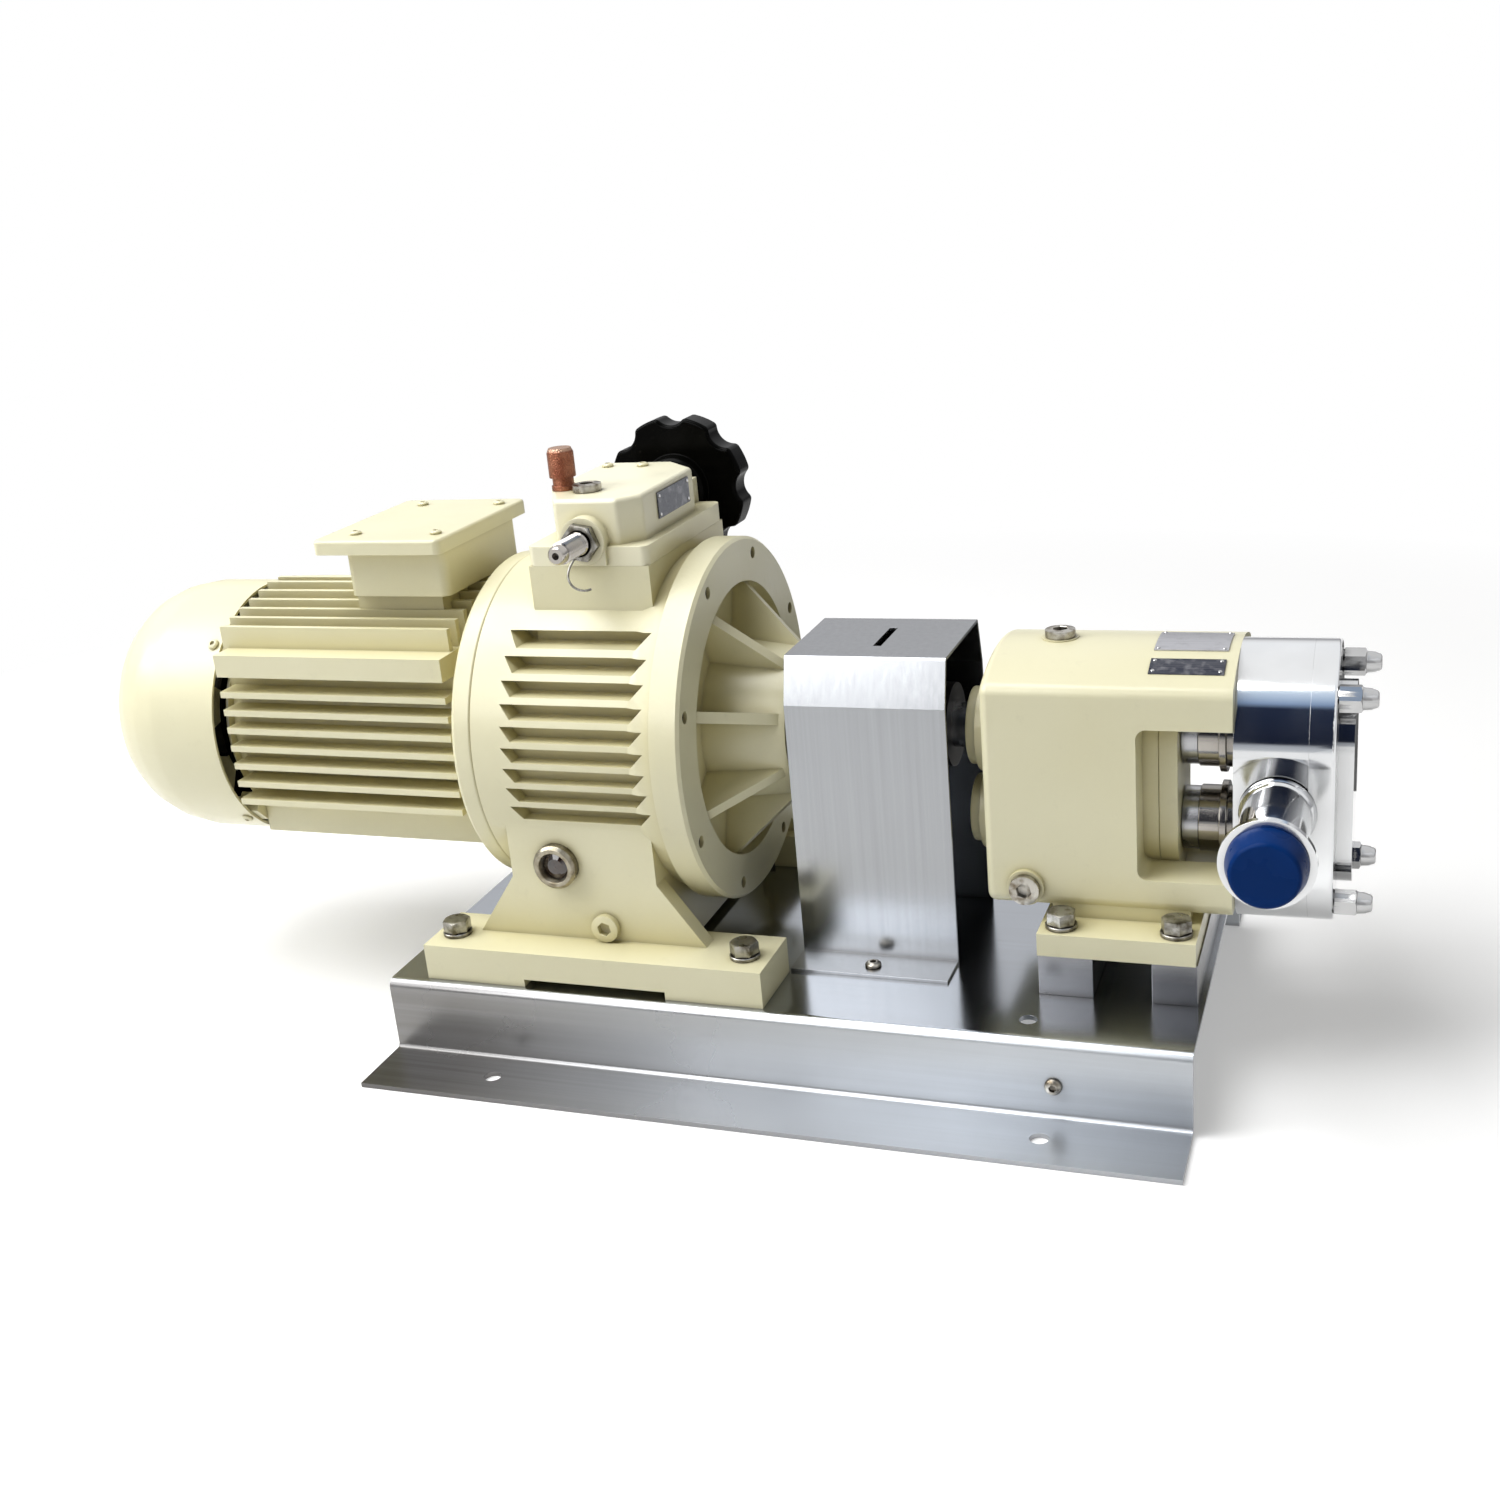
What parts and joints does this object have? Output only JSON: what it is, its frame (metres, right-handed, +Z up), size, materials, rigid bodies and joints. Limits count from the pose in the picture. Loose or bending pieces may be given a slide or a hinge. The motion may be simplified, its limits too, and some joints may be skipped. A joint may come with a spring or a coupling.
{
  "type": "rotary lobe pump unit",
  "caption": "Sanitary lobe pump on a stainless skid, driven by a finned motor through a handwheel speed variator and a guarded coupling.",
  "frame": {"origin": "centre of the rectangle of anchor holes, on the underside of the base", "axes": "+X along the shaft from the motor to the pump, +Z up, +Y to the side of the handwheel"},
  "size_m": [0.833, 0.3646, 0.372],
  "materials": {
    "cream_paint": "glossy",
    "brushed_stainless": "satin",
    "polished_stainless": "polished",
    "zinc_steel": "satin",
    "machined_steel": "satin",
    "copper": "satin",
    "black_plastic": "glossy",
    "blue_plastic": "matte",
    "rubber": "matte",
    "sight_glass": "clear"
  },
  "bodies": {
    "unit_frame": {"motor_frame": "cream_paint", "motor_end_shields": "cream_paint", "fan_cowl": "cream_paint", "terminal_box": "cream_paint", "terminal_box_lid": "cream_paint", "variator_housing": "cream_paint", "input_flange": "cream_paint", "output_cover": "cream_paint", "control_box": "cream_paint", "pump_housing": "cream_paint", "rear_bearing_caps": "cream_paint", "front_bearing_plate": "cream_paint", "base_plate": "brushed_stainless", "riser_bars": "brushed_stainless", "coupling_guard": "brushed_stainless", "base_screws": "brushed_stainless", "rotor_casing": "polished_stainless", "front_cover": "polished_stainless", "cover_nuts": "polished_stainless", "shaft_seals": "polished_stainless", "blank_plates": "polished_stainless", "cover_studs": "polished_stainless", "variator_foot_bolts": "zinc_steel", "pump_foot_bolts": "zinc_steel", "small_screws": "zinc_steel", "output_cover_screws": "zinc_steel", "spindle_gland": "zinc_steel", "oil_plugs": "zinc_steel", "sight_glass_ring": "zinc_steel", "race_rings": "machined_steel", "rolling_bearings": "machined_steel", "stator_core": "machined_steel", "stator_windings": "copper", "breather": "copper", "cable_gland": "black_plastic", "terminal_block": "black_plastic", "cover_seal": "rubber", "sight_glass_window": "sight_glass"},
    "drive_train": {"output_carrier": "machined_steel", "planet_discs": "machined_steel", "coupling_hubs": "machined_steel", "coupling_spider": "rubber", "drive_shaft": "machined_steel", "drive_gear": "machined_steel", "drive_rotor": "polished_stainless", "drive_rotor_nut": "polished_stainless"},
    "driven_train": {"driven_shaft": "machined_steel", "driven_gear": "machined_steel", "driven_rotor": "polished_stainless", "driven_rotor_nut": "polished_stainless"},
    "motor_rotor": {"motor_shaft": "machined_steel", "motor_rotor_core": "machined_steel", "cooling_fan": "black_plastic", "sun_discs": "machined_steel"},
    "speed_spindle": {"control_spindle": "machined_steel", "handwheel": "black_plastic"},
    "speed_nut": {"spindle_nut": "machined_steel"},
    "speed_cam": {"cam_ring": "machined_steel"},
    "front_cap": {"port_cap_front": "blue_plastic"},
    "rear_cap": {"port_cap_rear": "blue_plastic"}
  },
  "joints": [
    {"name": "drive_spin", "type": "hinge", "parent": "unit_frame", "child": "drive_train", "pos_m": [0, 0, 0.19], "axis": [1, 0, 0], "continuous": true},
    {"name": "driven_spin", "type": "hinge", "parent": "unit_frame", "child": "driven_train", "pos_m": [0, 0, 0.136], "axis": [1, 0, 0], "continuous": true},
    {"name": "motor_spin", "type": "hinge", "parent": "unit_frame", "child": "motor_rotor", "pos_m": [0, 0, 0.19], "axis": [1, 0, 0], "continuous": true},
    {"name": "speed_turn", "type": "hinge", "parent": "unit_frame", "child": "speed_spindle", "pos_m": [-0.111, 0, 0.322], "axis": [0, 1, 0], "range_deg": [-1080, 1080]},
    {"name": "nut_travel", "type": "slide", "parent": "unit_frame", "child": "speed_nut", "axis": [0, 1, 0], "range_m": [-0.0121, 0.0121]},
    {"name": "cam_turn", "type": "hinge", "parent": "unit_frame", "child": "speed_cam", "pos_m": [0, 0, 0.19], "axis": [1, 0, 0], "range_deg": [-8.3, 8.3]},
    {"name": "front_cap_pull", "type": "slide", "parent": "unit_frame", "child": "front_cap", "axis": [0, -1, 0], "range_m": [0, 0.12]},
    {"name": "rear_cap_pull", "type": "slide", "parent": "unit_frame", "child": "rear_cap", "axis": [0, 1, 0], "range_m": [0, 0.12]}
  ],
  "couplings": [
    {"joint": "driven_spin", "follows": "drive_spin", "ratio": -1},
    {"joint": "motor_spin", "follows": "drive_spin", "ratio": 3.4667},
    {"joint": "nut_travel", "follows": "speed_turn", "m_per_rad": 0.00063662},
    {"joint": "cam_turn", "follows": "speed_turn", "ratio": -0.0076242}
  ]
}
